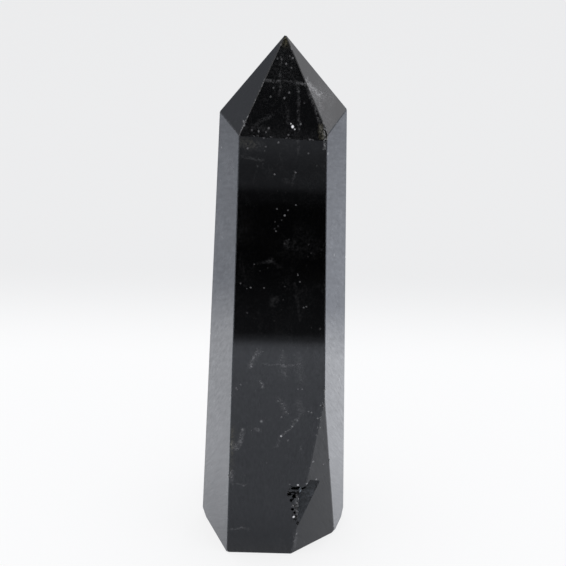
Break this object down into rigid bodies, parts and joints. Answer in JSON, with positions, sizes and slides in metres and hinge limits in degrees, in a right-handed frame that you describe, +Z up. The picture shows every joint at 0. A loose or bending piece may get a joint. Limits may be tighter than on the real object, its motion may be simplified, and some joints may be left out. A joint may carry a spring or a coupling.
{
  "type": "morion quartz crystal point",
  "caption": "Standing, six-sided polished point of black smoky quartz, tapering to a faceted tip, with a natural etched recess near its flat base.",
  "frame": {"origin": "centre of the bounding box of the flat base, on the surface that it stands on", "axes": "+Z up along the crystal's length, -Y towards the wide front prism face, +X towards the side of the foot facet"},
  "size_m": [0.0307, 0.0316, 0.1077],
  "materials": {
    "morion_quartz": "polished flat faces, near-black and see-through only at thin edges, with matte etched hollows"
  },
  "bodies": {
    "root": {"crystal_point": "morion_quartz"}
  },
  "joints": []
}
